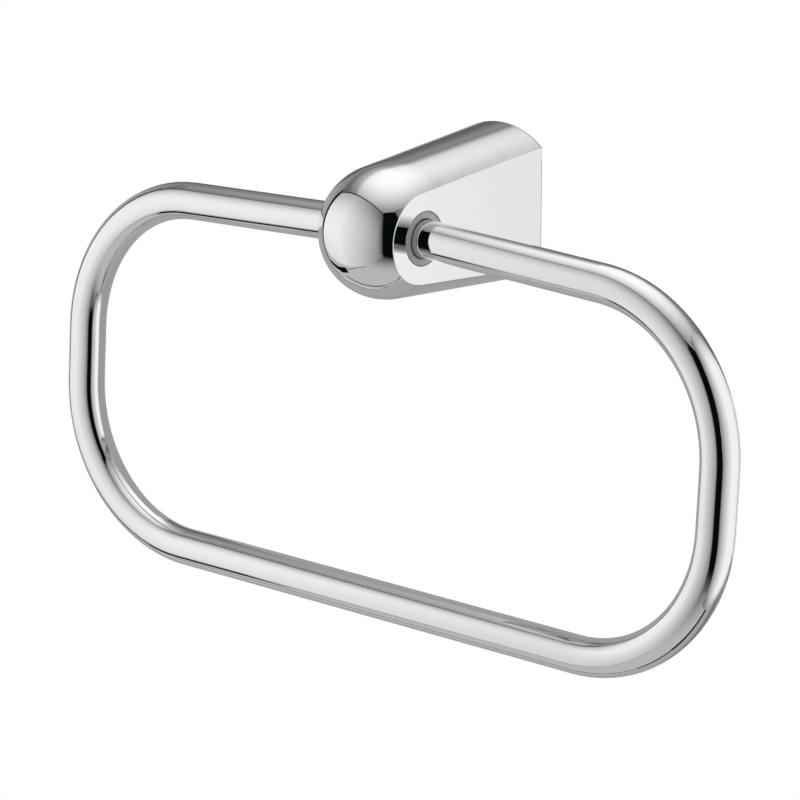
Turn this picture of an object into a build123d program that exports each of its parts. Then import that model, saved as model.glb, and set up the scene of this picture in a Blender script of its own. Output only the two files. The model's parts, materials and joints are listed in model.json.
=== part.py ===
from build123d import *
import os
from math import acos, atan2, cos, degrees, hypot, radians, sin, tan

# Towel ring: a round-nosed wall post with a flat on each side, carrying a bent rod that swings in two bushes.
# Millimetres and degrees. The wall is the plane y = 0, the post stands out towards -Y, and Z is up.
# The origin is the centre of the face that meets the wall.

# Post
projection = 65.0
nose_radius = 17.5
base_height = 42.4
nose_width = 25.7
base_width = 27.6
crease_round = 0.4
rim_round = 1.2
shell_wall = 3.0
pocket_web = 5.4

# Bores for the bushes, on the centre of the ball nose, with a web of metal left between them
web_thickness = 6.0
bore_round = 0.4

# Bent rod, measured on its centreline
rod_diameter = 10.0
ring_width = 213.0
loop_height = 93.6
top_bend_radius = 40.0
bottom_bend_radius = 40.0
arm_slope = 2.36
ring_swing = 3.84
ring_side = 1.35
end_bend_radius = 60.0
rod_end_chamfer = 0.8

# Bushes
bush_diameter = 14.0
bush_floor = 1.2
bush_recess = 0.2
bush_mouth = 0.3
bush_edge = 0.2
running_clearance = 0.08
seat_clearance = 0.02
end_clearance = 0.3

# Wall bracket and the grub screw that locks the post on it
plate_thickness = 3.0
bracket_clearance = 0.3
screw_spacing = 23.0
screw_hole_diameter = 4.6
lug_width = 12.0
lug_height = 13.0
lug_overhang = 3.5
lug_lead = 0.6
grub_diameter = 5.0
grub_from_wall = 16.0
grub_recess = 1.0
grub_clearance = 0.06
grub_chamfer = 0.4
grub_socket_width = 2.5
grub_socket_depth = 3.0
grub_boss_wall = 2.5
grub_boss_height = 5.0

os.makedirs("parts", exist_ok=True)

# Worked out from the sizes above
base_radius = base_height / 2
nose_centre = projection - nose_radius
pivot_from_wall = nose_centre
taper = acos(nose_radius / hypot(nose_centre, base_radius)) - atan2(nose_centre, base_radius)
flat_lean = (base_width - nose_width) / 2 / nose_centre
rod_radius = rod_diameter / 2
bore_radius = bush_diameter / 2
web_half = web_thickness / 2
pocket_depth = pivot_from_wall - bore_radius - pocket_web
grub_radius = grub_diameter / 2
lug_half_height = lug_height / 2
lug_reach = grub_from_wall + grub_radius + lug_overhang


def post_radius(depth):
    """Radius of the post's straight-sided cone at a distance from the wall."""
    return base_radius - depth * tan(taper)


def flat_half(depth):
    """Half the width across the flats at a distance from the wall."""
    return base_width / 2 - depth * flat_lean


def outer_flats(builder):
    """The two outside flats, the plane faces that lie furthest to the left and right."""
    planes = builder.faces().filter_by(GeomType.PLANE).sort_by(Axis.X)
    return planes[:1] + planes[-1:]


pivot = Vector(0, -pivot_from_wall, 0)
bush_face = flat_half(pivot_from_wall) - bush_recess
rod_end = web_half + bush_floor + end_clearance + ring_side
bush_bore_radius = rod_radius + running_clearance
grub_bottom = post_radius(grub_from_wall) - grub_recess
boss_radius = grub_radius + grub_boss_wall
boss_top = post_radius(grub_from_wall) - shell_wall - grub_boss_height


# Space inside the post, a smaller copy of its outside, with a boss left standing for the grub screw
with BuildPart() as pocket:
    with BuildSketch(Plane.XY):
        with BuildLine():
            Polyline(
                (0, 0),
                (post_radius(0) - shell_wall, 0),
                (post_radius(pocket_depth) - shell_wall, -pocket_depth),
                (0, -pocket_depth),
                close=True,
            )
        make_face()
    revolve(axis=Axis.Y)
    with BuildSketch(Plane.XY):
        with BuildLine():
            Polyline(
                (flat_half(0) - shell_wall, 0),
                (flat_half(pocket_depth) - shell_wall, -pocket_depth),
                (shell_wall - flat_half(pocket_depth), -pocket_depth),
                (shell_wall - flat_half(0), 0),
                close=True,
            )
        make_face()
    extrude(amount=base_radius, both=True, mode=Mode.INTERSECT)
    with BuildSketch(Plane.XY.offset(-boss_top)):
        with Locations((0, -grub_from_wall)):
            Circle(boss_radius)
    extrude(amount=-base_radius, mode=Mode.SUBTRACT)


# Die-cast post: ball nose running into a cone, cut by two flats that spread slightly towards the wall
with BuildPart() as post_body:
    with BuildSketch(Plane.XY):
        with BuildLine():
            nose = CenterArc((0, -nose_centre), nose_radius, -90, 90 - degrees(taper))
            Polyline(nose @ 1, (base_radius, 0), (0, 0), nose @ 0)
        make_face()
    revolve(axis=Axis.Y)
    with BuildSketch(Plane.XY):
        with BuildLine():
            Polyline(
                (flat_half(0), 0),
                (flat_half(projection), -projection),
                (-flat_half(projection), -projection),
                (-flat_half(0), 0),
                close=True,
            )
        make_face()
    extrude(amount=base_radius, both=True, mode=Mode.INTERSECT)
    creases = ShapeList()
    for flat in outer_flats(post_body):
        creases += flat.edges().filter_by(lambda edge: edge.center().Y < -rim_round)
    fillet(creases, crease_round)
    fillet(post_body.faces().sort_by(Axis.Y)[-1].edges(), rim_round)
    add(pocket.part, mode=Mode.SUBTRACT)
    for side in (1, -1):
        with BuildSketch(Plane.YZ.offset(side * web_half)):
            with Locations((pivot.Y, pivot.Z)):
                Circle(bore_radius)
        extrude(amount=side * base_width, mode=Mode.SUBTRACT)
    mouths = ShapeList()
    for flat in outer_flats(post_body):
        mouths += flat.inner_wires()[0].edges()
    fillet(mouths, bore_round)
    with BuildSketch(Plane.XY.offset(-boss_top)):
        with Locations((0, -grub_from_wall)):
            Circle(grub_radius + grub_clearance)
    extrude(amount=-base_radius, mode=Mode.SUBTRACT)
post_body.part.label = "post_body"
export_step(post_body.part, "parts/post_body.step")


# Nylon bush: a blind cup pressed into the post, with a countersunk mouth around the rod
with BuildPart() as right_bush:
    with BuildSketch(Plane.YZ.offset(web_half)):
        with Locations((pivot.Y, pivot.Z)):
            Circle(bore_radius - seat_clearance)
    extrude(amount=bush_face - web_half)
    chamfer(right_bush.faces().sort_by(Axis.X)[-1].edges(), bush_edge)
    with BuildSketch(Plane.YZ.offset(web_half + bush_floor)):
        with Locations((pivot.Y, pivot.Z)):
            Circle(bush_bore_radius)
    extrude(amount=bush_face - web_half - bush_floor, mode=Mode.SUBTRACT)
    chamfer(right_bush.faces().sort_by(Axis.X)[-1].inner_wires()[0].edges(), bush_mouth)
right_bush.part.label = "right_bush"
export_step(right_bush.part, "parts/right_bush.step")

with BuildPart() as left_bush:
    mirror(right_bush.part, about=Plane.YZ)
left_bush.part.label = "left_bush"
export_step(left_bush.part, "parts/left_bush.step")


# Bent rod: its two ends run true in the bushes, and the arms fall a little on their way out.
# It has slid to the right in its end play, as in the photograph.
half_width = ring_width / 2
bend_start = flat_half(pivot_from_wall) + ring_side + end_bend_radius * tan(radians(arm_slope) / 2)
arm_fall = (half_width - bend_start) * tan(radians(arm_slope))
bar_level = -arm_fall - loop_height
swing = radians(ring_swing)
ring_middle = pivot + Vector(ring_side, 0, 0)
ring_plane = Plane(origin=ring_middle, x_dir=(1, 0, 0), z_dir=(0, -cos(swing), sin(swing)))
with BuildPart() as ring:
    with BuildLine(ring_plane) as rod_path:
        FilletPolyline(
            (rod_end, 0),
            (bend_start, 0),
            (half_width, -arm_fall),
            (half_width, bar_level),
            (-half_width, bar_level),
            (-half_width, -arm_fall),
            (-bend_start, 0),
            (-rod_end, 0),
            radius=[
                end_bend_radius,
                top_bend_radius,
                bottom_bend_radius,
                bottom_bend_radius,
                top_bend_radius,
                end_bend_radius,
            ],
        )
    with BuildSketch(Plane(origin=rod_path.line @ 0, z_dir=rod_path.line % 0)):
        Circle(rod_radius)
    sweep()
    chamfer(ring.edges().sort_by(lambda edge: abs(edge.center().X - ring_side))[:2], rod_end_chamfer)
ring.part.label = "ring"
export_step(ring.part, "parts/ring.step")


# Wall bracket: a plate that fits the post's open back, with a lug for the grub screw to bear on
plate_radius = post_radius(plate_thickness) - shell_wall - bracket_clearance
plate_width = 2 * (flat_half(plate_thickness) - shell_wall - bracket_clearance)
with BuildPart() as wall_bracket:
    with BuildSketch(Plane.XZ):
        Circle(plate_radius)
        Rectangle(plate_width, base_height, mode=Mode.INTERSECT)
    extrude(amount=plate_thickness)
    with BuildSketch(Plane.XZ.offset(plate_thickness)):
        Rectangle(lug_width, lug_height)
    extrude(amount=lug_reach - plate_thickness)
    chamfer(wall_bracket.faces().sort_by(Axis.Y)[0].edges(), lug_lead)
    with BuildSketch(Plane.XZ):
        with GridLocations(0, screw_spacing, 1, 2):
            Circle(screw_hole_diameter / 2)
    extrude(amount=plate_thickness, mode=Mode.SUBTRACT)
wall_bracket.part.label = "wall_bracket"
export_step(wall_bracket.part, "parts/wall_bracket.step")


# Grub screw: comes up through the underside of the post and bears on the lug
with BuildPart() as grub_screw:
    with BuildSketch(Plane.XY.offset(-grub_bottom)):
        with Locations((0, -grub_from_wall)):
            Circle(grub_radius)
    extrude(amount=grub_bottom - lug_half_height)
    chamfer(grub_screw.edges().filter_by(GeomType.CIRCLE), grub_chamfer)
    with BuildSketch(Plane.XY.offset(-grub_bottom)):
        with Locations((0, -grub_from_wall)):
            RegularPolygon(grub_socket_width / 2, 6, major_radius=False)
    extrude(amount=grub_socket_depth, mode=Mode.SUBTRACT)
grub_screw.part.label = "grub_screw"
export_step(grub_screw.part, "parts/grub_screw.step")
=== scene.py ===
# %% [markdown]
# # A chromed towel ring
# The object is a wall post with a round nose, and a bent rod that swings in two grey bushes.
# Its solids come from the CAD model and stay as they are. This script gives them their finishes, models
# the one piece that the solids leave plain, the thread of the locking screw, and lights the whole like
# a product photograph. Bright chrome has almost no colour of its own: it shows what stands around it,
# so most of the work here is in the white sheets and dark gaps of the studio.

# %% Load the frame
import bpy
import json
import math
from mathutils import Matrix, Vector


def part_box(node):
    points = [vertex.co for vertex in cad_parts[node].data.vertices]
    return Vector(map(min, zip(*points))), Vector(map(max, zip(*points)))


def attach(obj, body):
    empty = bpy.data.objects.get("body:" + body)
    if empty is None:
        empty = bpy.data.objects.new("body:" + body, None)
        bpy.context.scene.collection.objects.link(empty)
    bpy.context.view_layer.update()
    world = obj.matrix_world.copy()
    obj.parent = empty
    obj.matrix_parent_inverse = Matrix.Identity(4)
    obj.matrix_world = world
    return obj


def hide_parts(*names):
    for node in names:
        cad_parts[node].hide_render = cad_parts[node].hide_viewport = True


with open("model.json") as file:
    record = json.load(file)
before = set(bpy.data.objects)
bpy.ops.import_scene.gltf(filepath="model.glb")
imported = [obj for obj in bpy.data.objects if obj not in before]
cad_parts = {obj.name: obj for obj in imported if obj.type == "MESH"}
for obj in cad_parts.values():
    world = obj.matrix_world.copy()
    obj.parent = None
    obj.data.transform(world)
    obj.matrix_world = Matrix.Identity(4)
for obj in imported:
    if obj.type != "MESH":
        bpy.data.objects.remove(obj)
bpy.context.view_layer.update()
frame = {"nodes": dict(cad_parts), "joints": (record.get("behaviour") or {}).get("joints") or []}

MM = 0.001
print("pieces:", sorted(frame["nodes"]))

# %% [markdown]
# ## Measures
# The pivot of the ring, the tip of the nose and the size and place of the screw are read from the loaded
# model, so that these follow it if it changes. Sizes that belong to one finish, to the camera or to the
# studio are typed in where they are first used.

# %% Measure the pivot, the nose and the screw
pivot = Vector(frame["joints"][0]["pos_m"])
nose_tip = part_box("post_body")[0].y
screw_low, screw_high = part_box("grub_screw")
screw_middle = (screw_low + screw_high) / 2
screw_radius = (screw_high.x - screw_low.x) / 2 / MM
screw_length = (screw_high.z - screw_low.z) / MM
print("projection", round(-nose_tip / MM, 1), "mm, pivot", [round(c / MM, 1) for c in pivot])
print("screw:", round(2 * screw_radius, 2), "mm thick,", round(screw_length, 2), "mm long")

# %% [markdown]
# ## The locking screw
# A small set screw comes up through the underside of the post and presses on the wall bracket. The solid
# is a plain pin with a hexagon socket. The real one has a thread, and it shows in the hole from below.
# A thread could be painted with bump, but its crests make the outline, so it is modelled.
# It is drawn in millimetres, because tiny meshes lose edges to merging, and shrunk at the end.
# Operators act on all that is selected, and loading leaves the solids selected, so every step here starts
# by selecting nothing, or one piece alone.

# %% Helpers for modelling by hand
def deselect_all():
    """Leaves edit mode with nothing selected, so that the next operator meets only the new piece."""
    if bpy.context.mode != "OBJECT":
        bpy.ops.object.mode_set(mode="OBJECT")
    bpy.ops.object.select_all(action="DESELECT")


def select_only(piece):
    """Selects one piece and makes it the active one, which is what operators work on."""
    deselect_all()
    piece.select_set(True)
    bpy.context.view_layer.objects.active = piece


def new_piece(name):
    """Names the primitive that was just added, and returns it."""
    piece = bpy.context.active_object
    piece.name = name
    piece.data.name = name
    return piece


def apply_modifier(piece, kind, **settings):
    """Adds a modifier with these settings, and applies it."""
    modifier = piece.modifiers.new(kind.title(), kind)
    for key, value in settings.items():
        setattr(modifier, key, value)
    select_only(piece)
    bpy.ops.object.modifier_apply(modifier=modifier.name)


def face_outwards(piece):
    """Turns every face of a closed piece outwards, which booleans need."""
    select_only(piece)
    bpy.ops.object.mode_set(mode="EDIT")
    bpy.ops.mesh.select_all(action="SELECT")
    bpy.ops.mesh.normals_make_consistent(inside=False)
    bpy.ops.object.mode_set(mode="OBJECT")


print("selected after loading:", len(bpy.context.selected_objects), "objects")

# %% [markdown]
# ### One tooth, wound into a thread
# A thread is one tooth that climbs around the pin. A plane is merged to a single point, and that point is
# extruded four times: along the root, up a flank, along the crest and down again. The Screw modifier then
# winds the tooth up the axis, a pitch at each turn. The pitch is the usual one of a 5 mm screw.

# %% Draw one tooth and wind it
thread_pitch = 0.8
thread_depth = 0.42
crest_width = 0.1
root_width = 0.2
crest_clearance = 0.01
steps_per_turn = 40
spare_turns = 2
flank_rise = (thread_pitch - crest_width - root_width) / 2
crest_radius = screw_radius - crest_clearance
root_radius = crest_radius - thread_depth
screw_turns = math.ceil(screw_length / thread_pitch) + spare_turns

deselect_all()
bpy.ops.mesh.primitive_plane_add(size=1)
thread = new_piece("locking_screw")
bpy.ops.object.mode_set(mode="EDIT")
bpy.ops.mesh.select_all(action="SELECT")
bpy.ops.mesh.merge(type="CENTER")
bpy.ops.transform.translate(value=(root_radius, 0, -thread_pitch))
tooth_steps = (
    (0, root_width),
    (thread_depth, flank_rise),
    (0, crest_width),
    (-thread_depth, flank_rise),
)
for outward, upward in tooth_steps:
    bpy.ops.mesh.extrude_region_move(TRANSFORM_OT_translate={"value": (outward, 0, upward)})
bpy.ops.object.mode_set(mode="OBJECT")
apply_modifier(
    thread,
    "SCREW",
    screw_offset=thread_pitch,
    iterations=screw_turns,
    steps=steps_per_turn,
    render_steps=steps_per_turn,
)
print("thread:", screw_turns, "turns,", len(thread.data.polygons), "faces")

# %% [markdown]
# ### A closed body
# The turns are separate ribbons so far. Merging doubles joins each turn to the next, and a bisect at each end
# cuts the spare turns off and fills the cut, so that the thread becomes a closed body for the booleans.

# %% Join the turns and close the ends
merge_distance = 0.005
end_spare = thread_pitch / 2
select_only(thread)
bpy.ops.object.mode_set(mode="EDIT")
bpy.ops.mesh.select_all(action="SELECT")
bpy.ops.mesh.remove_doubles(threshold=merge_distance)
for height, outward in ((-end_spare, -1), (screw_length + end_spare, 1)):
    bpy.ops.mesh.select_all(action="SELECT")
    bpy.ops.mesh.bisect(
        plane_co=(0, 0, height),
        plane_no=(0, 0, outward),
        clear_outer=True,
        use_fill=True,
    )
face_outwards(thread)
print("thread height now", round(max(v.co.z for v in thread.data.vertices), 2), "mm")

# %% [markdown]
# ### Turned ends
# A real screw has its thread cut on a blank whose ends are already bevelled, so the first and last turns run
# out along a cone. Keeping only what the thread shares with such a blank gives the same run-out.

# %% Trim it with a bevelled blank
end_bevel = 0.6
blank_margin = 0.05
blank_sides = 64
deselect_all()
bpy.ops.mesh.primitive_cylinder_add(
    vertices=blank_sides,
    radius=crest_radius + blank_margin,
    depth=screw_length,
    location=(0, 0, screw_length / 2),
)
blank = new_piece("screw_blank")
apply_modifier(blank, "BEVEL", width=end_bevel, segments=1, limit_method="ANGLE")
face_outwards(blank)
apply_modifier(thread, "BOOLEAN", operation="INTERSECT", solver="EXACT", object=blank)
bpy.data.objects.remove(blank)
print("trimmed thread:", len(thread.data.polygons), "faces")

# %% [markdown]
# ### Hexagon socket
# The key goes in from below. The cutter is a six-sided prism whose end is extruded and drawn in to a blunt
# tip, like the cone that the drill leaves under a broached socket.

# %% Sink the hexagon socket
socket_flats = 2.5
socket_depth = 3.0
socket_tip = 0.7
tip_share = 0.1
deselect_all()
bpy.ops.mesh.primitive_cylinder_add(
    vertices=6,
    radius=socket_flats / math.sqrt(3),
    depth=2 * socket_depth,
    location=(0, 0, 0),
)
cutter = new_piece("socket_cutter")
bpy.ops.object.mode_set(mode="EDIT")
bpy.ops.mesh.select_mode(type="FACE")
bpy.ops.mesh.select_all(action="DESELECT")
bpy.ops.object.mode_set(mode="OBJECT")
cutter_end = max(cutter.data.polygons, key=lambda face: face.center.z)
cutter_end.select = True
bpy.ops.object.mode_set(mode="EDIT")
bpy.ops.mesh.extrude_region_move(TRANSFORM_OT_translate={"value": (0, 0, socket_tip)})
bpy.ops.transform.resize(value=(tip_share, tip_share, 1))
bpy.ops.mesh.select_mode(type="VERT")
face_outwards(cutter)
face_outwards(thread)
apply_modifier(thread, "BOOLEAN", operation="DIFFERENCE", solver="EXACT", object=cutter)
bpy.data.objects.remove(cutter)
print("screw with socket:", len(thread.data.polygons), "faces")

# %% [markdown]
# ### Into the post
# The screw shrinks to metres, moves to where the plain pin is, and takes its place. Its scale and location
# are applied, so that the object sits at the origin with its place in its mesh, as the solids do.

# %% Bring the screw to its size and place
smooth_below = math.radians(35)
select_only(thread)
thread.scale = (MM, MM, MM)
thread.location = (screw_middle.x, screw_middle.y, screw_low.z)
bpy.ops.object.transform_apply(location=True, rotation=True, scale=True)
bpy.ops.object.shade_smooth_by_angle(angle=smooth_below)
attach(thread, "wall_post")
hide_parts("grub_screw")
print("locking screw:", [round(d / MM, 2) for d in thread.dimensions], "mm")

# %% [markdown]
# ## Shared effects
# Two effects belong to more than one finish, so each is a node group with its own inputs.
# Haze is what a cloth and dry air leave on a polished surface: broad soft patches where the polish is a
# little duller. Ripple is the slow waviness of plated or moulded metal and plastic, which bends a
# reflection a little. Both read Object coordinates, so they stay put when the ring swings.

# %% Helpers for nodes
def new_group(name, inputs, outputs):
    """Makes an empty node group with these named number sockets, and returns it with its two ends."""
    group = bpy.data.node_groups.new(name, "ShaderNodeTree")
    for label, value in inputs.items():
        socket = group.interface.new_socket(label, in_out="INPUT", socket_type="NodeSocketFloat")
        socket.default_value = value
    for label in outputs:
        group.interface.new_socket(label, in_out="OUTPUT", socket_type="NodeSocketFloat")
    return group, group.nodes.new("NodeGroupInput"), group.nodes.new("NodeGroupOutput")


def add_node(tree, kind, **settings):
    """Adds a node, sets its properties, and returns it."""
    node = tree.nodes.new("ShaderNode" + kind)
    for key, value in settings.items():
        setattr(node, key, value)
    return node


def math_node(tree, operation, first, second=None):
    """Adds a Math node. Each of its two values is a number or the output of another node."""
    node = add_node(tree, "Math", operation=operation)
    for socket, value in zip(node.inputs, (first, second)):
        if isinstance(value, bpy.types.NodeSocket):
            tree.links.new(value, socket)
        elif value is not None:
            socket.default_value = value
    return node.outputs["Value"]


print("node groups so far:", len(bpy.data.node_groups))

# %% Polish haze
haze_detail = 3
clear_below = 0.35
hazed_above = 0.75
haze, haze_in, haze_out = new_group("polish_haze", {"Scale": 40, "Low": 0.02, "High": 0.05}, ["Roughness"])
place = add_node(haze, "TexCoord")
patches = add_node(haze, "TexNoise")
patches.inputs["Detail"].default_value = haze_detail
spread = add_node(haze, "MapRange", interpolation_type="SMOOTHSTEP")
spread.inputs["From Min"].default_value = clear_below
spread.inputs["From Max"].default_value = hazed_above
haze.links.new(place.outputs["Object"], patches.inputs["Vector"])
haze.links.new(haze_in.outputs["Scale"], patches.inputs["Scale"])
haze.links.new(patches.outputs["Fac"], spread.inputs["Value"])
haze.links.new(haze_in.outputs["Low"], spread.inputs["To Min"])
haze.links.new(haze_in.outputs["High"], spread.inputs["To Max"])
haze.links.new(spread.outputs["Result"], haze_out.inputs["Roughness"])
print("group:", haze.name)

# %% Surface ripple
ripple, ripple_in, ripple_out = new_group("surface_ripple", {"Scale": 150, "Detail": 1}, ["Height"])
place = add_node(ripple, "TexCoord")
waves = add_node(ripple, "TexNoise")
ripple.links.new(place.outputs["Object"], waves.inputs["Vector"])
ripple.links.new(ripple_in.outputs["Scale"], waves.inputs["Scale"])
ripple.links.new(ripple_in.outputs["Detail"], waves.inputs["Detail"])
ripple.links.new(waves.outputs["Fac"], ripple_out.inputs["Height"])
print("group:", ripple.name)

# %% [markdown]
# ### Masks by distance
# Round parts are marked in rings: the countersink of a bush carries painted shade around the rod, and a
# thread keeps its oil in the roots. Painting such a ring would need a picture. The distance of a point from
# the part's own axis gives the same mask from three vector nodes, and a Map Range node sets where it starts
# and ends.

# %% Distance from an axis
def axis_distance(tree, along, centre):
    """Distance of the shaded point from a line through a centre, which runs along X, Y or Z."""
    place = add_node(tree, "TexCoord")
    offset = add_node(tree, "VectorMath", operation="SUBTRACT")
    offset.inputs[1].default_value = centre
    tree.links.new(place.outputs["Object"], offset.inputs[0])
    flat = add_node(tree, "VectorMath", operation="MULTIPLY")
    flat.inputs[1].default_value = [0 if axis == along else 1 for axis in "XYZ"]
    tree.links.new(offset.outputs["Vector"], flat.inputs[0])
    length = add_node(tree, "VectorMath", operation="LENGTH")
    tree.links.new(flat.outputs["Vector"], length.inputs[0])
    return length.outputs["Value"]


def level(tree, value, from_range, to_range, smooth=False):
    """Maps one range of numbers onto another, clamped at both ends."""
    node = add_node(tree, "MapRange", interpolation_type="SMOOTHSTEP" if smooth else "LINEAR")
    names = ("From Min", "From Max", "To Min", "To Max")
    for label, number in zip(names, (*from_range, *to_range)):
        node.inputs[label].default_value = number
    tree.links.new(value, node.inputs["Value"])
    return node.outputs["Result"]


print("masks run around X through the bushes and Z through the screw")

# %% [markdown]
# ### What a finish is made of
# Every finish here has the same three parts: two tones mixed by a mask, which is mostly soft clouds, a
# roughness that varies in patches, and a fine relief. Each part gets a helper, so that a finish below is
# little more than its own values.

# %% Helpers for finishes
def new_finish(name):
    """A new material, with its node tree and its Principled shader."""
    finish = bpy.data.materials.new(name)
    finish.use_nodes = True
    return finish, finish.node_tree, finish.node_tree.nodes["Principled BSDF"]


def add_group(tree, group, **values):
    """Places a node group with its own values."""
    node = add_node(tree, "Group", node_tree=group)
    for label, value in values.items():
        node.inputs[label].default_value = value
    return node


def add_haze(tree, shader, scale, low, high):
    """Feeds the haze group into the shader's Roughness."""
    patches = add_group(tree, haze, Scale=scale, Low=low, High=high)
    tree.links.new(patches.outputs["Roughness"], shader.inputs["Roughness"])


def add_ripple(tree, shader, scale, detail, height):
    """Feeds the ripple group into the shader's Normal through a Bump node of this height in metres."""
    wave = add_group(tree, ripple, Scale=scale, Detail=detail)
    bump = add_node(tree, "Bump")
    bump.inputs["Distance"].default_value = height
    tree.links.new(wave.outputs["Height"], bump.inputs["Height"])
    tree.links.new(bump.outputs["Normal"], shader.inputs["Normal"])
    return bump


def two_tone(tree, shader, mask, first, second):
    """Mixes two colours by a mask, into the shader's Base Color."""
    mix = add_node(tree, "Mix", data_type="RGBA")
    mix.inputs["A"].default_value = (*first, 1)
    mix.inputs["B"].default_value = (*second, 1)
    tree.links.new(mask, mix.inputs["Factor"])
    tree.links.new(mix.outputs["Result"], shader.inputs["Base Color"])
    return mix.outputs["Result"]


def add_clouds(tree, shader, scale, detail, first, second):
    """Mixes two colours in soft clouds, into the shader's Base Color."""
    clouds = add_group(tree, ripple, Scale=scale, Detail=detail)
    return two_tone(tree, shader, clouds.outputs["Height"], first, second)


print("materials so far:", len(bpy.data.materials))

# %% [markdown]
# ## Chrome plate
# Chrome is a metal: its shader has Metallic at one, and the base colour is how much it mirrors. The tint is
# a trace of blue. The post is a die casting under its plate, so its mirror is very slightly wavy. The rod is
# drawn and polished round, so it is truer. The waves are one to three thousandths of a millimetre high,
# which is enough to bend a reflection.

# %% Chrome on the rod and on the post
chrome_bright = (0.80, 0.81, 0.82)
chrome_hazed = (0.77, 0.78, 0.79)
chrome_clear = 0.02
cloud_detail = 4


def new_chrome(name, haze_scale, haze_high, cloud_scale, wave_scale, wave_height):
    """A chrome finish. Scales are in patches per metre, and the height of the waves is in metres."""
    finish, tree, shader = new_finish(name)
    shader.inputs["Metallic"].default_value = 1
    add_haze(tree, shader, haze_scale, chrome_clear, haze_high)
    add_clouds(tree, shader, cloud_scale, cloud_detail, chrome_bright, chrome_hazed)
    wave = add_ripple(tree, shader, wave_scale, detail=0, height=wave_height)
    return finish, wave


rod_chrome, _ = new_chrome(
    "rod_chrome",
    haze_scale=30,
    haze_high=0.05,
    cloud_scale=18,
    wave_scale=90,
    wave_height=0.0013 * MM,
)
post_chrome, post_wave = new_chrome(
    "post_chrome",
    haze_scale=45,
    haze_high=0.06,
    cloud_scale=25,
    wave_scale=70,
    wave_height=0.003 * MM,
)
print("finishes:", rod_chrome.name, post_chrome.name)

# %% [markdown]
# ### The junction of nose and cone
# On the real post a reflection runs from the ball nose into the cone without a break, as where a buffing
# wheel has softened the turn. In the solid the ball stops where the cone starts, and the reflection breaks
# there. It is softened in the finish, by a smooth rise of bump along the post. The two flats keep their own
# normal, because they are true planes.

# %% Buff the ball nose into the cone
blend_middle = nose_tip + 16.2 * MM
blend_reach = 7 * MM
blend_height = 0.7 * MM
flat_facing = 0.9
tree = post_chrome.node_tree
place = add_node(tree, "TexCoord")
axes = add_node(tree, "SeparateXYZ")
tree.links.new(place.outputs["Object"], axes.inputs["Vector"])
buffed = add_node(tree, "MapRange", interpolation_type="SMOOTHERSTEP")
buffed.inputs["From Min"].default_value = blend_middle - blend_reach
buffed.inputs["From Max"].default_value = blend_middle + blend_reach
tree.links.new(axes.outputs["Y"], buffed.inputs["Value"])
slope = add_node(tree, "Bump")
slope.inputs["Distance"].default_value = blend_height
tree.links.new(buffed.outputs["Result"], slope.inputs["Height"])
print("junction softened over", round(2 * blend_reach / MM), "mm")

# %% Leave the flats alone
facing = add_node(tree, "SeparateXYZ")
tree.links.new(place.outputs["Normal"], facing.inputs["Vector"])
sideways = math_node(tree, "ABSOLUTE", facing.outputs["X"])
on_flat = math_node(tree, "GREATER_THAN", sideways, flat_facing)
plain = add_node(tree, "NewGeometry")
choose = add_node(tree, "Mix", data_type="VECTOR")
tree.links.new(on_flat, choose.inputs["Factor"])
tree.links.new(slope.outputs["Normal"], choose.inputs["A"])
tree.links.new(plain.outputs["Normal"], choose.inputs["B"])
tree.links.new(choose.outputs["Result"], post_wave.inputs["Normal"])
print("post finish:", len(tree.nodes), "nodes")

# %% [markdown]
# ## Nylon, zinc and screw steel
# The bushes are moulded nylon: matte, mid grey, with a fine grain that breaks up the light. Their countersink
# around the rod is painted darker, as painted shade. The bracket is a bare zinc casting, cloudy and dull. The
# screw is turned steel, darker in the roots of its thread, where oil stays. None of these is one flat colour.

# %% Grey nylon
nylon_deep = (0.46, 0.46, 0.465)
nylon_pale = (0.60, 0.60, 0.605)
# The darker tone is painted shade in the countersink around the rod, inside the mouth edge.
nylon_in_shade = (0.28, 0.28, 0.28)
mouth_edge = (5.2 * MM, 5.4 * MM)
nylon, tree, shader = new_finish("bush_nylon")
face_colour = add_clouds(tree, shader, scale=900, detail=4, first=nylon_deep, second=nylon_pale)
on_face = level(tree, axis_distance(tree, "X", pivot), mouth_edge, (0, 1), smooth=True)
mouth_shade = add_node(tree, "Mix", data_type="RGBA")
mouth_shade.inputs["A"].default_value = (*nylon_in_shade, 1)
tree.links.new(on_face, mouth_shade.inputs["Factor"])
tree.links.new(face_colour, mouth_shade.inputs["B"])
tree.links.new(mouth_shade.outputs["Result"], shader.inputs["Base Color"])
add_haze(tree, shader, scale=600, low=0.42, high=0.55)
add_ripple(tree, shader, scale=3500, detail=3, height=0.02 * MM)
print("finish:", nylon.name)

# %% Bare zinc
zinc_deep = (0.42, 0.43, 0.44)
zinc_pale = (0.62, 0.63, 0.64)
zinc, tree, shader = new_finish("bracket_zinc")
shader.inputs["Metallic"].default_value = 1
add_clouds(tree, shader, scale=220, detail=6, first=zinc_deep, second=zinc_pale)
add_haze(tree, shader, scale=300, low=0.38, high=0.58)
add_ripple(tree, shader, scale=1200, detail=4, height=0.06 * MM)
print("finish:", zinc.name)

# %% Screw steel
steel_root = (0.16, 0.16, 0.16)
steel_crest = (0.50, 0.50, 0.51)
steel, tree, shader = new_finish("turned_steel")
shader.inputs["Metallic"].default_value = 1
from_axis = axis_distance(tree, "Z", (screw_middle.x, screw_middle.y, 0))
crest = level(tree, from_axis, (root_radius * MM, crest_radius * MM), (0, 1), smooth=True)
two_tone(tree, shader, crest, steel_root, steel_crest)
add_haze(tree, shader, scale=700, low=0.22, high=0.4)
add_ripple(tree, shader, scale=2500, detail=2, height=0.01 * MM)
print("finish:", steel.name)

# %% [markdown]
# ## Dressing
# A solid keeps its shape and its place, and only its material is exchanged. The two bushes are alike, so they
# share a finish. The screw is a new piece that has no material yet.

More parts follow.
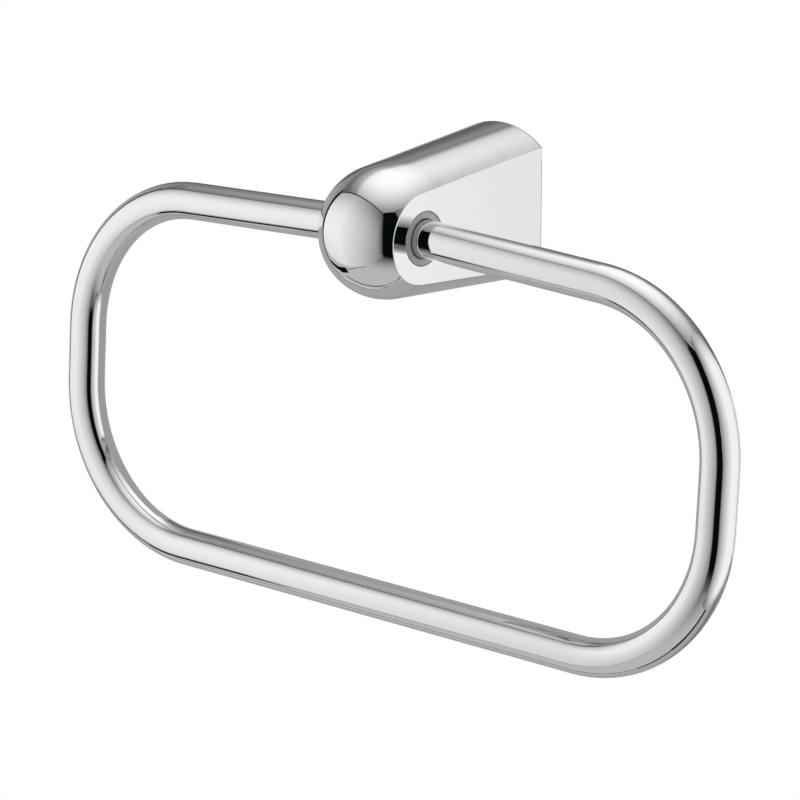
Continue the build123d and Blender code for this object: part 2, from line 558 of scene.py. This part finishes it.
# %% Dress the pieces
finishes = {
    "post_body": post_chrome,
    "ring": rod_chrome,
    "left_bush": nylon,
    "right_bush": nylon,
    "wall_bracket": zinc,
}
for node, finish in finishes.items():
    piece = frame["nodes"][node]
    piece.data.materials.clear()
    piece.data.materials.append(finish)
thread.data.materials.append(steel)
print("dressed:", len(finishes) + 1, "pieces")

# %% [markdown]
# ## Camera
# The camera looks from the right and a little above, with a long lens from about a metre away. Its place is
# given by two angles and a distance from the middle of the loop. A small lens shift does the framing.

# %% Place the camera
camera_azimuth = math.radians(40.268)
camera_elevation = math.radians(16.202)
camera_distance = 1.00979
focal_length = 175.126
sensor_width = 36
frame_shift = (0.0121, 0.0095)
loop_setback = 1.6 * MM
loop_drop = 47.31 * MM
loop_centre = pivot + Vector((0, loop_setback, -loop_drop))
towards_camera = Vector((
    math.sin(camera_azimuth) * math.cos(camera_elevation),
    -math.cos(camera_azimuth) * math.cos(camera_elevation),
    math.sin(camera_elevation),
))
lens = bpy.data.cameras.new("studio_camera")
lens.sensor_width = sensor_width
lens.lens = focal_length
lens.shift_x, lens.shift_y = frame_shift
camera = bpy.data.objects.new("studio_camera", lens)
bpy.context.collection.objects.link(camera)
camera.location = loop_centre + towards_camera * camera_distance
camera.rotation_euler = towards_camera.to_track_quat("Z", "Y").to_euler()
bpy.context.scene.camera = camera
print("camera at", [round(c, 3) for c in camera.location])

# %% [markdown]
# ## Studio
# The object hangs above a pale table in a white tent. Around it stand white sheets that glow by themselves,
# as if lamps stood behind them, which is how shiny things are lit: the sheets are what the chrome shows.
# Lamps alone would give it hard points of light on black. The sheets light the object and show in its chrome,
# but the camera looks through them. Every place in the studio is measured in metres from the centre of the
# ball nose.

# %% Helpers for glowing sheets
nose = Vector((0, pivot.y, 0))
floor_level = -0.38


def even(strength):
    """A run of brightness that is the same from edge to edge."""
    return (0, 1), (strength, strength)


def new_glow(name):
    """A material that only glows, with its node tree and the Strength of its light."""
    glow = bpy.data.materials.new(name)
    glow.use_nodes = True
    tree = glow.node_tree
    tree.nodes.clear()
    light = add_node(tree, "Emission")
    out = add_node(tree, "OutputMaterial")
    tree.links.new(light.outputs["Emission"], out.inputs["Surface"])
    return glow, tree, light.inputs["Strength"]


def sheet_glow(name, across, up=even(1)):
    """A glowing sheet: its brightness runs across and up the sheet, each as ((from, to), (first, last))."""
    glow, tree, strength = new_glow(name)
    place = add_node(tree, "TexCoord")
    axes = add_node(tree, "SeparateXYZ")
    tree.links.new(place.outputs["UV"], axes.inputs["Vector"])
    by_width = level(tree, axes.outputs["X"], *across)
    by_height = level(tree, axes.outputs["Y"], *up, smooth=True)
    tree.links.new(math_node(tree, "MULTIPLY", by_width, by_height), strength)
    return glow


print("tent around", [round(c, 3) for c in nose])

# %% Helpers for standing a sheet and laying a strip
strip_lift = 0.001


def add_sheet(name, bearing, distance, across, heights, material):
    """Stands an upright sheet facing the nose. Bearing is in degrees to the right of straight ahead of it."""
    turn = math.radians(bearing)
    ahead = Vector((math.sin(turn), -math.cos(turn), 0))
    along = Vector((math.cos(turn), math.sin(turn), 0))
    left, right = across
    bottom, top = heights
    deselect_all()
    bpy.ops.mesh.primitive_plane_add(size=1)
    sheet = new_piece(name)
    sheet.scale = (right - left, top - bottom, 1)
    sheet.rotation_euler = (math.radians(90), 0, turn)
    sheet.location = nose + ahead * distance + along * (left + right) / 2 + Vector((0, 0, (bottom + top) / 2))
    sheet.data.materials.append(material)
    sheet.visible_camera = False


def add_strip(name, first, last, width, material):
    """Lays a strip on the table from one point to another. It casts no shadow and takes no light away."""
    first = Vector((*first, 0))
    last = Vector((*last, 0))
    run = last - first
    deselect_all()
    bpy.ops.mesh.primitive_plane_add(size=1)
    strip = new_piece(name)
    strip.scale = (run.length, width, 1)
    strip.rotation_euler = (0, 0, math.atan2(run.y, run.x))
    strip.location = nose + (first + last) / 2 + Vector((0, 0, floor_level + strip_lift))
    strip.data.materials.append(material)
    strip.visible_camera = False
    strip.visible_diffuse = False
    strip.visible_shadow = False


print("strips lie", strip_lift / MM, "mm above the table")

# %% [markdown]
# ### Black felt
# What should stay dark in the chrome is covered with felt. It gives back almost nothing, so its shader has
# no gloss at all and a colour near black, with a trace of blue and green.

# %% Black felt
felt_colour = (0.004, 0.006, 0.007)
black, _, shader = new_finish("black_felt")
shader.inputs["Base Color"].default_value = (*felt_colour, 1)
shader.inputs["Roughness"].default_value = 1
shader.inputs["Specular IOR Level"].default_value = 0
print("felt:", black.name)

# %% [markdown]
# ### Front sheet
# Most of the chrome shows the large sheet in front. It is brightest on the left and falls off to the right,
# towards the gap for the camera. It has two halves, because the lower one dims towards the table and the
# upper one towards the ceiling. The felt frame behind it is the thin dark line around the bright shape on
# the nose, and a narrow dark post stands further to the left.

# %% Stand the front sheet in its dark frame
front_bearing = -20
front_distance = 0.38
front_left = -3.27 * front_distance
front_right = 1.75 * front_distance
front_top = 1.50 * front_distance
frame_behind = 0.005
frame_left = 0.36
frame_top = 0.045
front_fall = ((0.56, 0.95), (1.06, 0.15))
lower_glow = sheet_glow("front_lower_glow", front_fall, ((0, 1), (0.85, 1)))
upper_glow = sheet_glow("front_upper_glow", front_fall, ((0.1, 1), (1, 0.5)))
for name, heights, glow in (
    ("front_lower", (floor_level, 0), lower_glow),
    ("front_upper", (0, front_top), upper_glow),
):
    add_sheet(name, front_bearing, front_distance, (front_left, front_right), heights, glow)
add_sheet(
    "front_frame",
    front_bearing,
    front_distance + frame_behind,
    (front_left - frame_left, front_right),
    (floor_level, front_top + frame_top),
    black,
)
add_sheet(
    "left_frame",
    bearing=-91.5,
    distance=0.62,
    across=(-0.026, 0.026),
    heights=(-0.40, 0.34),
    material=black,
)
print("front sheet top at", round(front_top, 3), "m")

# %% [markdown]
# ### The gap for the camera
# A sheet can't hang where the camera looks through, and that gap is the black stripe down the nose and the
# uprights. It is a felt card here. Its left edge fades into the front sheet over a narrow fringe, and its
# foot fades into the table. A second card closes the gap under the ceiling.

# %% The gap that the camera looks through
gap_bearing = 69
gap_distance = 0.3225
gap_width = (-0.222, -0.039)
gap_heights = (-0.19, 0.27)
fringe_width = (-0.285, gap_width[0])
foot_heights = (-0.26, gap_heights[0])
fringe_glow = sheet_glow("fringe_glow", ((0, 1), (0.32, 0.05)))
foot_glow = sheet_glow("gap_foot_glow", even(0.15), ((0, 1), (1, 0.03)))
for name, across, heights, glow in (
    ("camera_gap", gap_width, gap_heights, black),
    ("gap_fringe", fringe_width, gap_heights, fringe_glow),
    ("gap_foot", gap_width, foot_heights, foot_glow),
):
    add_sheet(name, gap_bearing, gap_distance, across, heights, glow)
add_sheet(
    "gap_top",
    bearing=50,
    distance=0.61,
    across=(-0.2, 0.22),
    heights=(0.45, 0.61),
    material=black,
)
print("gap is", round(gap_width[1] - gap_width[0], 3), "m wide")

# %% [markdown]
# ### Right sheets
# The right flat of the post and the outer sides of the ring show two sheets on the right. The near one rises
# from grey beside the gap to full white, and the far one goes on from there towards the back.

# %% Stand the right sheets
right_bearing = 95
right_distance = 0.32
right_top = 0.4
right_seam = 0.24
foot_fade = ((0, 0.3), (0.45, 1))
top_fade = ((0.35, 1), (1, 0.5))
for name, across, fall in (
    ("right", (-0.215, right_seam), ((0, 0.55), (0.25, 1.1))),
    ("right_far", (right_seam, 0.69), ((0, 0.2), (1.1, 0.98))),
):
    foot_glow = sheet_glow(name + "_foot_glow", fall, foot_fade)
    top_glow = sheet_glow(name + "_top_glow", fall, top_fade)
    add_sheet(name + "_foot", right_bearing, right_distance, across, (floor_level, 0), foot_glow)
    add_sheet(name + "_top", right_bearing, right_distance, across, (0, right_top), top_glow)
print("right sheets reach", right_top, "m above the nose")

# %% [markdown]
# ### Grey boards at the back
# The edges of a shiny rod mirror what is behind it. In a room that is white all over they would melt into the
# background. Boards of several greys stand behind the object, so that each rod keeps a grey edge, and a small
# one close behind the loop does this for the inner edge of its lower left bend and for the bar.

# %% Stand the boards
board_distance = 0.46
side_bearing = -106
corner_bearing = -137
back_bearing = 180
corner_width = (-0.18, 0.17)
back_width = (-0.14, 0.21)
board_top = 0.27
corner_waist = 0.02
back_waist = -0.05
back_knee = -0.26
# Each board glows at its own strength: its grey is painted light, not paint lit by lamps.
side_glow = sheet_glow("side_glow", even(0.44), ((0.55, 1), (1, 0.6)))
low_glow = sheet_glow("corner_low_glow", even(0.42))
high_glow = sheet_glow("corner_high_glow", even(1), ((0.3, 1), (0.14, 0.3)))
back_glow = sheet_glow("back_glow", even(0.85))
dim_glow = sheet_glow("dim_glow", even(0.22))
stand_glow = sheet_glow("stand_glow", even(0.4))
for name, bearing, across, heights, glow in (
    ("side_board", side_bearing, (-0.10, 0.085), (floor_level, 0.28), side_glow),
    ("corner_low", corner_bearing, corner_width, (floor_level, corner_waist), low_glow),
    ("corner_high", corner_bearing, corner_width, (corner_waist, board_top), high_glow),
    ("back_high", back_bearing, back_width, (back_waist, board_top), high_glow),
    ("back_low", back_bearing, back_width, (back_knee, back_waist), back_glow),
    ("back_foot", back_bearing, back_width, (floor_level, back_knee), dim_glow),
):
    add_sheet(name, bearing, board_distance, across, heights, glow)
add_sheet(
    "stand",
    bearing=back_bearing,
    distance=0.06,
    across=(-0.02, 0.115),
    heights=(-0.13, 0.01),
    material=stand_glow,
)
# The strip on the table is a dim glow: painted shade behind the right of the object, seen only in the chrome.
add_strip("back_shade", first=(0.0, 0.3), last=(0.35, 0.3), width=0.2, material=dim_glow)
print("boards stand", board_distance, "m from the nose")

# %% [markdown]
# ### Dark things on the table
# The undersides of the rods show the table, and on it the foot of a lamp, painted shadow along the foot of
# the front sheet, and a dark line under the right half of the loop. In the chrome they are thin dark lines,
# which make it look like metal and not like grey paint. Each is a strip of felt, from one point to another.

# %% Lay the strips
for name, first, last, width in (
    ("lamp_foot", (-0.43, -0.10), (-0.31, -0.20), 0.09),
    ("lamp_leg", (-0.66, 0.0), (-0.41, -0.12), 0.07),
    # These two strips are painted shadow: black felt where the front sheet meets the table.
    ("sheet_foot_shadow", (-0.33, -0.19), (-0.17, -0.315), 0.009),
    ("sheet_foot_shadow_end", (-0.17, -0.315), (-0.02, -0.36), 0.008),
    # These three strips make a dark line on the table under the right half of the loop.
    ("line_below_loop", (-0.33, -0.075), (0.04, -0.006), 0.016),
    ("line_below_loop_middle", (0.04, -0.006), (0.14, 0.003), 0.034),
    ("line_below_loop_end", (0.14, 0.003), (0.32, 0.02), 0.055),
):
    add_strip(name, first, last, width, black)
print("table at", floor_level, "m")

# %% [markdown]
# ### Ceiling
# The tops of the post and the rods show the roof of the tent. Its glow is painted light: an oval over the
# back left corner, as if one lamp stood above it, which falls off softly on all sides and is dimmer at the
# far left.
# A Mapping node stretches and turns the plane's own coordinates, so that the distance from the middle runs in
# ovals.

# %% Hang the ceiling
ceiling_height = front_top + frame_top
ceiling_size = 5
oval_middle = (-0.136, 0.236)
oval_turn = math.radians(36.5)
oval_reach = (0.81, 1.03)
oval_fall = ((0.07, 1), (1.25, 0.24))
left_fall = ((-0.52, -0.36), (0.6, 1))
ceiling_glow, tree, strength = new_glow("ceiling_glow")
place = add_node(tree, "TexCoord")
oval = add_node(tree, "Mapping", vector_type="TEXTURE")
oval.inputs["Location"].default_value = (*oval_middle, 0)
oval.inputs["Rotation"].default_value = (0, 0, oval_turn)
oval.inputs["Scale"].default_value = (*oval_reach, 1)
tree.links.new(place.outputs["Object"], oval.inputs["Vector"])
away = add_node(tree, "VectorMath", operation="LENGTH")
tree.links.new(oval.outputs["Vector"], away.inputs[0])
axes = add_node(tree, "SeparateXYZ")
tree.links.new(place.outputs["Object"], axes.inputs["Vector"])
by_oval = level(tree, away.outputs["Value"], *oval_fall, smooth=True)
by_side = level(tree, axes.outputs["X"], *left_fall, smooth=True)
tree.links.new(math_node(tree, "MULTIPLY", by_oval, by_side), strength)

deselect_all()
bpy.ops.mesh.primitive_plane_add(size=ceiling_size, location=(nose.x, nose.y, ceiling_height))
ceiling = new_piece("ceiling")
ceiling.data.materials.append(ceiling_glow)
ceiling.visible_camera = False
print("ceiling at", round(ceiling_height, 3), "m")

# %% [markdown]
# ## Floor and white surroundings
# The floor is pale paint near the object, where its shadow falls, and turns into plain white further out, so
# that it has no edge against the white world. The camera should meet that white, and so should a mirror, so
# both ask the Light Path node what kind of ray has come. The light that falls on the object is left as it is.

# %% Which rays meet the white
def mirror_rays(tree):
    """One for the rays that come from a mirror or through glass."""
    path = add_node(tree, "LightPath")
    both = math_node(tree, "ADD", path.outputs["Is Glossy Ray"], path.outputs["Is Transmission Ray"])
    return math_node(tree, "MINIMUM", both, 1.0)


def shown_rays(tree):
    """One for the rays that should meet the white background: camera, mirror and glass rays."""
    path = add_node(tree, "LightPath")
    return math_node(tree, "MAXIMUM", path.outputs["Is Camera Ray"], mirror_rays(tree))


# %% [markdown]
# ### How bright the table is in the chrome
# In a mirror the table is a soft grey glow of painted light: a little brighter in front of the object than
# behind it, and with painted shade towards the gap, where no sheet would light it. Two dot products measure
# how far ahead and how far aside of the gap's middle a point of the table lies, and both fade softly.

# %% Table in the mirror
front_and_back = ((0.02, 0.04), (0.58, 0.44))
gap_turn = math.radians(48)
gap_ahead = (0.18, 0.62)
gap_aside = (0.15, 0.45)
gap_shade = 0.13
floor_paint, tree, paint = new_finish("pale_floor")
place = add_node(tree, "TexCoord")


def along_floor(direction):
    """How far a point of the floor lies from below the nose, in this direction."""
    dot = add_node(tree, "VectorMath", operation="DOT_PRODUCT")
    dot.inputs[1].default_value = direction
    tree.links.new(place.outputs["Object"], dot.inputs[0])
    return dot.outputs["Value"]


depth = level(tree, along_floor((0, 1, 0)), *front_and_back)
ahead = along_floor((math.sin(gap_turn), -math.cos(gap_turn), 0))
aside = math_node(tree, "ABSOLUTE", along_floor((math.cos(gap_turn), math.sin(gap_turn), 0)))
dim_ahead = level(tree, ahead, gap_ahead, (0, 1), smooth=True)
dim_aside = level(tree, aside, gap_aside, (1, 0), smooth=True)
shaded = add_node(tree, "Mix", data_type="FLOAT")
shaded.inputs["B"].default_value = gap_shade
tree.links.new(math_node(tree, "MULTIPLY", dim_ahead, dim_aside), shaded.inputs["Factor"])
tree.links.new(depth, shaded.inputs["A"])
print("table dims towards", round(math.degrees(gap_turn)), "degrees")

# %% [markdown]
# ### Paint and white
# The paint and the white are two shaders. A mask mixes them: the white wins far from the object, for the rays
# that should meet it, and everywhere for a mirror, which then shows the table's soft grey.

# %% Paint the floor and lay it
floor_white = 0.88
floor_roughness = 0.9
floor_size = 30
white_from = (0.42, 0.55)
paint.inputs["Base Color"].default_value = (floor_white, floor_white, floor_white, 1)
paint.inputs["Roughness"].default_value = floor_roughness
mirrored = mirror_rays(tree)
glow = add_node(tree, "Mix", data_type="FLOAT")
glow.inputs["A"].default_value = 1
tree.links.new(mirrored, glow.inputs["Factor"])
tree.links.new(shaded.outputs["Result"], glow.inputs["B"])
white = add_node(tree, "Emission")
tree.links.new(glow.outputs["Result"], white.inputs["Strength"])
far = level(tree, axis_distance(tree, "Z", (0, 0, 0)), white_from, (0, 1), smooth=True)
seen_far = math_node(tree, "MULTIPLY", far, shown_rays(tree))
blend = add_node(tree, "MixShader")
tree.links.new(math_node(tree, "MAXIMUM", seen_far, mirrored), blend.inputs["Fac"])
tree.links.new(paint.outputs["BSDF"], blend.inputs[1])
tree.links.new(white.outputs["Emission"], blend.inputs[2])
tree.links.new(blend.outputs["Shader"], tree.nodes["Material Output"].inputs["Surface"])

deselect_all()
bpy.ops.mesh.primitive_plane_add(size=floor_size, location=(nose.x, nose.y, floor_level))
floor = new_piece("floor")
floor.data.materials.append(floor_paint)
print("floor at", floor_level, "m")

# %% [markdown]
# ### White world
# Past the floor there is only the world. It shows full white to the camera and to mirrors, and lights the
# object at half of that, so that pale surfaces keep their tone.

# %% Set the world
world_light = (0.5, 1)
world = bpy.data.worlds.new("white_room")
bpy.context.scene.world = world
world.use_nodes = True
tree = world.node_tree
room = tree.nodes["Background"]
room.inputs["Color"].default_value = (1, 1, 1, 1)
tree.links.new(level(tree, shown_rays(tree), (0, 1), world_light), room.inputs["Strength"])
bpy.context.scene.view_settings.view_transform = "Standard"
print("world:", world.name)
